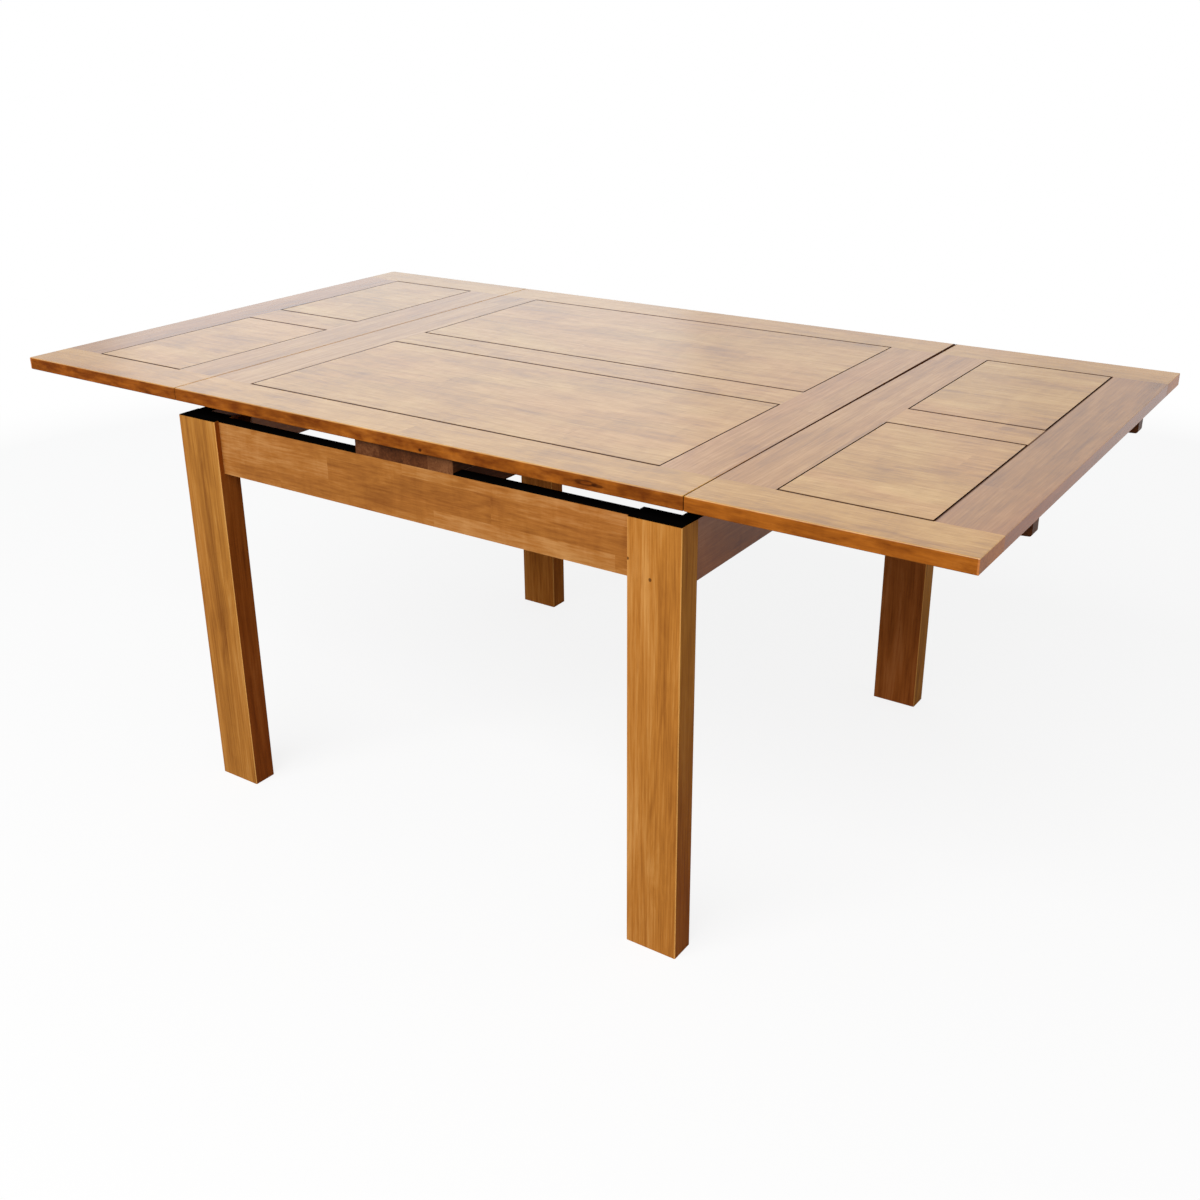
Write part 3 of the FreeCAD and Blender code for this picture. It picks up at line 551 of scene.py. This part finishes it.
def dress_pieces():
    """Give every piece of the frame its finish."""
    for name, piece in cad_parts.items():
        piece.data.materials.clear()
        piece.data.materials.append(finish_of(name))


# Screws and bolts: one tree for each kind, and a shape at every point of a piece

def start_fastener_tree(name, sizes):
    """A Geometry Nodes tree with named sizes in metres, and its points and end node."""
    tree = bpy.data.node_groups.new(name, "GeometryNodeTree")
    face = tree.interface
    face.new_socket("Geometry", in_out="INPUT", socket_type="NodeSocketGeometry")
    for label in sizes:
        face.new_socket(label, in_out="INPUT", socket_type=FLOAT)
    face.new_socket("Material", in_out="INPUT", socket_type="NodeSocketMaterial")
    face.new_socket("Geometry", in_out="OUTPUT", socket_type="NodeSocketGeometry")
    return tree, tree.nodes.new("NodeGroupInput").outputs, tree.nodes.new("NodeGroupOutput").inputs


def round_bar(tree, radius, start, length, around=32, along=1, rings=1):
    """A cylinder whose foot stands at a height, lifted there by the height of its middle."""
    bar = node(tree, "GeometryNodeMeshCylinder", {
        "Vertices": around, "Side Segments": along, "Fill Segments": rings, "Radius": radius,
        "Depth": length}).outputs["Mesh"]
    middle = maths(tree, "MULTIPLY_ADD", length, 0.5, start)
    lift = node(tree, "ShaderNodeCombineXYZ", {"Z": middle}).outputs[0]
    return node(tree, "GeometryNodeTransform", {"Geometry": bar, "Translation": lift}).outputs[0]


def bar_places(tree):
    """Where each point of a bar is: across both ways, up, out from the axis and round it."""
    place = node(tree, "GeometryNodeInputPosition").outputs[0]
    x, y, z = node(tree, "ShaderNodeSeparateXYZ", {0: place}).outputs
    out = maths(tree, "SQRT", maths(tree, "ADD", maths(tree, "MULTIPLY", x, x),
                                    maths(tree, "MULTIPLY", y, y)))
    return x, y, z, out, maths(tree, "ARCTAN2", y, x)


def finish_fastener_tree(tree, given, result, parts):
    """Put the joined parts at every point, turned the way that the point gives."""
    joined = tree.nodes.new("GeometryNodeJoinGeometry")
    for part in parts:
        tree.links.new(part, joined.inputs[0])
    way = node(tree, "GeometryNodeInputNamedAttribute", {"Name": "way"},
               data_type="FLOAT_VECTOR").outputs["Attribute"]
    turn = node(tree, "FunctionNodeAlignRotationToVector", {"Vector": way}, axis="Z").outputs[0]
    placed = node(tree, "GeometryNodeInstanceOnPoints", {
        "Points": given["Geometry"], "Instance": joined.outputs[0], "Rotation": turn}).outputs[0]
    solid = node(tree, "GeometryNodeRealizeInstances", {"Geometry": placed}).outputs[0]
    dressed = node(tree, "GeometryNodeSetMaterial", {"Geometry": solid,
                                                     "Material": given["Material"]}).outputs[0]
    tree.links.new(dressed, result["Geometry"])
    return tree


RIM_SHARE = 0.4
CROSS_ARM, CROSS_HUB, CROSS_REACH, CROSS_DEPTH = 0.14, 0.22, 0.62, 0.55


def build_screw_tree():
    """A screw with a domed head and a cross recess, its shank upwards, and a washer on it."""
    tree, given, result = start_fastener_tree("domed screws", (
        "Shank Radius", "Shank Length", "Head Radius", "Head Height", "Washer Radius",
        "Washer Height"))
    radius, height = given["Head Radius"], given["Head Height"]
    rim = maths(tree, "MULTIPLY", height, RIM_SHARE)
    head = round_bar(tree, radius, maths(tree, "SUBTRACT", height, rim), rim, rings=10)
    x, y, z, out, _ = bar_places(tree)
    share = maths(tree, "DIVIDE", out, radius)
    dome = maths(tree, "MULTIPLY", maths(tree, "SUBTRACT", height, rim),
                 maths(tree, "SUBTRACT", maths(tree, "MULTIPLY", share, share), 1.0))
    arm = maths(tree, "LESS_THAN",
                maths(tree, "MINIMUM", maths(tree, "ABSOLUTE", x), maths(tree, "ABSOLUTE", y)),
                maths(tree, "MULTIPLY", radius, CROSS_ARM))
    hub = maths(tree, "LESS_THAN", share, CROSS_HUB)
    cross = maths(tree, "MULTIPLY", maths(tree, "MAXIMUM", arm, hub),
                  maths(tree, "LESS_THAN", share, CROSS_REACH))
    depth = maths(tree, "MULTIPLY", maths(tree, "MULTIPLY", cross, CROSS_DEPTH), height)
    below = maths(tree, "LESS_THAN", z, maths(tree, "MULTIPLY", height, 2 * RIM_SHARE))
    shift = node(tree, "ShaderNodeCombineXYZ", {"Z": maths(
        tree, "MULTIPLY", maths(tree, "ADD", dome, depth), below)}).outputs[0]
    head = node(tree, "GeometryNodeSetPosition", {"Geometry": head, "Offset": shift}).outputs[0]
    shank = round_bar(tree, given["Shank Radius"], height, given["Shank Length"], around=20)
    washer = round_bar(tree, given["Washer Radius"], height, given["Washer Height"], around=48)
    worn = node(tree, "GeometryNodeSwitch", {
        "Switch": maths(tree, "GREATER_THAN", given["Washer Radius"], 0.0), "True": washer},
        input_type="GEOMETRY").outputs[0]
    return finish_fastener_tree(tree, given, result, (head, shank, worn))


def build_bolt_tree():
    """A threaded bolt along its way, with a washer and a hexagonal nut on it."""
    tree, given, result = start_fastener_tree("threaded bolts", (
        "Bolt Radius", "Bolt Length", "Thread Pitch", "Thread Depth", "Washer Place",
        "Washer Radius", "Washer Height", "Nut Reach", "Nut Height"))
    radius = given["Bolt Radius"]
    rod = round_bar(tree, radius, 0.0, given["Bolt Length"], around=16, along=240)
    x, y, z, out, round_it = bar_places(tree)
    turns = maths(tree, "SUBTRACT", maths(tree, "DIVIDE", z, given["Thread Pitch"]),
                  maths(tree, "DIVIDE", round_it, math.tau))
    flank = maths(tree, "PINGPONG", maths(tree, "MULTIPLY", turns, 2.0), 1.0)
    cut = maths(tree, "DIVIDE", maths(tree, "MULTIPLY", flank, given["Thread Depth"]), radius)
    shift = node(tree, "ShaderNodeCombineXYZ", {
        axis: maths(tree, "MULTIPLY", maths(tree, "MULTIPLY", place, cut), -1.0)
        for axis, place in (("X", x), ("Y", y))}).outputs[0]
    rod = node(tree, "GeometryNodeSetPosition", {"Geometry": rod, "Offset": shift}).outputs[0]
    washer = round_bar(tree, given["Washer Radius"], given["Washer Place"],
                       given["Washer Height"], around=48)
    base = maths(tree, "ADD", given["Washer Place"], given["Washer Height"])
    nut = round_bar(tree, given["Nut Reach"], base, given["Nut Height"], around=36, along=8)
    side = math.pi / 3
    turned = maths(tree, "ADD", round_it, side / 2 + math.tau)
    within = maths(tree, "SUBTRACT", maths(tree, "MODULO", turned, side), side / 2)
    reach = maths(tree, "DIVIDE", math.cos(side / 2), maths(tree, "COSINE", within))
    up = maths(tree, "DIVIDE", maths(tree, "SUBTRACT", z, base), given["Nut Height"])
    from_end = maths(tree, "MINIMUM", up, maths(tree, "SUBTRACT", 1.0, up))
    reach = maths(tree, "MINIMUM", reach, maths(tree, "ADD", 0.9, from_end))
    at_rim = maths(tree, "GREATER_THAN", out, maths(tree, "MULTIPLY", given["Nut Reach"], 0.5))
    pull = maths(tree, "MULTIPLY", maths(tree, "SUBTRACT", reach, 1.0), at_rim)
    shift = node(tree, "ShaderNodeCombineXYZ", {
        axis: maths(tree, "MULTIPLY", place, pull) for axis, place in (("X", x), ("Y", y))
    }).outputs[0]
    nut = node(tree, "GeometryNodeSetPosition", {"Geometry": nut, "Offset": shift}).outputs[0]
    return finish_fastener_tree(tree, given, result, (rod, washer, nut))


def fit_fasteners(name, tree, sizes, spots, body, stands_for):
    """Make the fasteners of one body as a plain mesh, in place of the CAD's plain ones."""
    mesh = bpy.data.meshes.new(name + "_points")
    mesh.from_pydata([place for place, _ in spots], [], [])
    ways = mesh.attributes.new("way", "FLOAT_VECTOR", "POINT")
    for row, (_, way) in zip(ways.data, spots):
        row.vector = way
    points = bpy.data.objects.new(name + "_points", mesh)
    bpy.context.scene.collection.objects.link(points)
    maker = points.modifiers.new("maker", "NODES")
    maker.node_group = tree
    named = {socket.name: socket.identifier for socket in tree.interface.items_tree
             if socket.in_out == "INPUT"}
    for label, size in {**sizes, "Material": FINISHES["steel"]}.items():
        maker[named[label]] = size
    bpy.context.view_layer.update()
    made = bpy.data.meshes.new_from_object(
        points.evaluated_get(bpy.context.evaluated_depsgraph_get()))
    bpy.data.objects.remove(points)
    for face in made.polygons:
        face.use_smooth = True
    made.set_sharp_from_angle(angle=math.radians(30))
    piece = bpy.data.objects.new(name, made)
    bpy.context.scene.collection.objects.link(piece)
    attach(piece, body)
    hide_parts(stands_for)


SCREW_SIZES = {"Shank Radius": 0.0025, "Head Radius": 0.005, "Head Height": 0.003,
               "Washer Radius": 0.0, "Washer Height": 0.0}
BOLT_SIZES = {"Bolt Radius": 0.004, "Bolt Length": 0.0609, "Thread Pitch": 0.00125,
              "Thread Depth": 0.0006, "Washer Place": 0.0403, "Washer Radius": 0.011,
              "Washer Height": 0.0016, "Nut Reach": 0.0075, "Nut Height": 0.007}
UP, DOWN = (0, 0, 1), (0, 0, -1)

# Where the fasteners start, in metres from the table's middle and above the floor

LEAF_SCREWS_X, LEAF_SCREWS_Y, LEAF_SCREW_HEIGHT = (0.833, 0.877), (-0.281, 0.253), 0.713
BEARER_SCREW_X, BEARER_SCREW_Y, BEARER_SCREW_HEIGHT = 0.06, 0.478, 0.728
PEG_X, PEG_SCREW_HEIGHT = 0.06, 0.663
BOLT_X, BOLT_Y, BOLT_HEIGHT = 0.42373, 0.46773, 0.645
BOTH_WAYS = (-1, 1)


def fit_all_fasteners():
    """Put the screws of the leaves, the bearer and the pegs in place, and the legs' bolts."""
    screws, bolts = build_screw_tree(), build_bolt_tree()
    for side, sign in (("right", 1), ("left", -1)):
        fit_fasteners(f"{side}_leaf_domed_screws", screws, {**SCREW_SIZES, "Shank Length": 0.026},
                      [((sign * x, sign * y, LEAF_SCREW_HEIGHT), UP)
                       for x in LEAF_SCREWS_X for y in LEAF_SCREWS_Y],
                      f"{side}_leaf", f"{side}_leaf_screws")
    fit_fasteners("bearer_domed_screws", screws, {**SCREW_SIZES, "Shank Length": 0.038},
                  [((x * BEARER_SCREW_X, y * BEARER_SCREW_Y, BEARER_SCREW_HEIGHT), DOWN)
                   for x in BOTH_WAYS for y in BOTH_WAYS], "frame", "bearer_screws")
    fit_fasteners("peg_screws_and_washers", screws,
                  {**SCREW_SIZES, "Shank Length": 0.027, "Washer Radius": 0.017,
                   "Washer Height": 0.0028},
                  [((x * PEG_X, 0, PEG_SCREW_HEIGHT), UP) for x in BOTH_WAYS],
                  "centre_top", "peg_washers")
    slant = math.sqrt(0.5)
    fit_fasteners("leg_threaded_bolts", bolts, BOLT_SIZES,
                  [((x * BOLT_X, y * BOLT_Y, BOLT_HEIGHT), (-x * slant, -y * slant, 0))
                   for x in BOTH_WAYS for y in BOTH_WAYS], "frame", "leg_bolts")


# Floor, light and air round the table

def seen_directly(tree):
    """1 for the rays of the camera, of mirrors and of glass, 0 for those of plain light."""
    path = node(tree, "ShaderNodeLightPath").outputs
    return maths(tree, "MAXIMUM", path["Is Camera Ray"],
                 maths(tree, "MAXIMUM", path["Is Glossy Ray"], path["Is Transmission Ray"]))


PAPER_WHITE = 0.85
FLOOR_HALF = 30
FADE = (1.1, 3.2)


def lay_floor():
    """A pale floor that keeps the table's shadow and fades to white further off."""
    mesh = bpy.data.meshes.new("floor")
    corners = ((-1, -1), (1, -1), (1, 1), (-1, 1))
    mesh.from_pydata([(x * FLOOR_HALF, y * FLOOR_HALF, 0) for x, y in corners], [],
                     [(0, 1, 2, 3)])
    floor = bpy.data.objects.new("floor", mesh)
    bpy.context.scene.collection.objects.link(floor)
    made, tree, shader = start_material("pale floor")
    camera_ray = node(tree, "ShaderNodeLightPath").outputs["Is Camera Ray"]
    shade = blend_colours(tree, camera_ray, (0.38, 0.38, 0.38, 1), (0.9, 0.9, 0.9, 1))
    give(tree, shader, {"Base Color": shade, "Roughness": 1.0, "Specular IOR Level": 0.0})
    place = node(tree, "ShaderNodeTexCoord").outputs["Object"]
    far = vector_maths(tree, "LENGTH", place)["Value"]
    fade = ramp(tree, far, *FADE, way="SMOOTHSTEP")
    white = node(tree, "ShaderNodeEmission", {"Color": (1, 1, 1, 1), "Strength": 1.0})
    share = maths(tree, "MAXIMUM", maths(tree, "MULTIPLY", fade, seen_directly(tree)),
                  maths(tree, "MULTIPLY", camera_ray, PAPER_WHITE))
    mix = node(tree, "ShaderNodeMixShader", {0: share, 1: shader.outputs[0],
                                             2: white.outputs[0]})
    surface = next(n for n in tree.nodes if n.type == "OUTPUT_MATERIAL").inputs["Surface"]
    tree.links.new(mix.outputs[0], surface)
    mesh.materials.append(made)


def hang_lamp(name, place, aim, size, watts, tint=(1, 1, 1)):
    """A lamp of a width and height at a place, turned to what it lights."""
    lamp = bpy.data.lights.new(name, "AREA")
    lamp.color = tint
    lamp.shape = "RECTANGLE"
    lamp.size, lamp.size_y = size
    lamp.energy = watts
    holder = bpy.data.objects.new(name, lamp)
    way = Vector(aim) - Vector(place)
    holder.matrix_world = (Matrix.Translation(place)
                           @ way.to_track_quat("-Z", "Y").to_matrix().to_4x4())
    bpy.context.scene.collection.objects.link(holder)


AIR_LIGHT = 0.32
COOL = (0.7, 0.87, 1.0)


def light_studio():
    """Soft light from all round, four lamps, and air that looks white."""
    world = bpy.data.worlds.new("air")
    world.use_nodes = True
    tree = world.node_tree
    strength = ramp(tree, seen_directly(tree), 0.0, 1.0, AIR_LIGHT, 1.0)
    give(tree, tree.nodes["Background"], {"Color": (1, 1, 1, 1), "Strength": strength})
    bpy.context.scene.world = world
    hang_lamp("key lamp", place=(0.2, -4.9, 4.6), aim=(0, 0, 0.55), size=(7.0, 3.6), watts=433)
    hang_lamp("sheen lamp", place=(-3.1, 3.0, 1.7), aim=(-0.4, 0, 0.75), size=(2.8, 2.8),
              watts=15, tint=COOL)
    hang_lamp("back lamp", place=(-1.3, 4.3, 2.0), aim=(0, 0, 0.75), size=(1.5, 1.5),
              watts=1.7, tint=COOL)
    hang_lamp("side lamp", place=(3.2, 0.6, 1.4), aim=(0.6, 0, 0.5), size=(3.2, 3.2), watts=8.5)
    bpy.context.scene.view_settings.view_transform = "Standard"


place_camera()
dress_pieces()
fit_all_fasteners()
lay_floor()
light_studio()
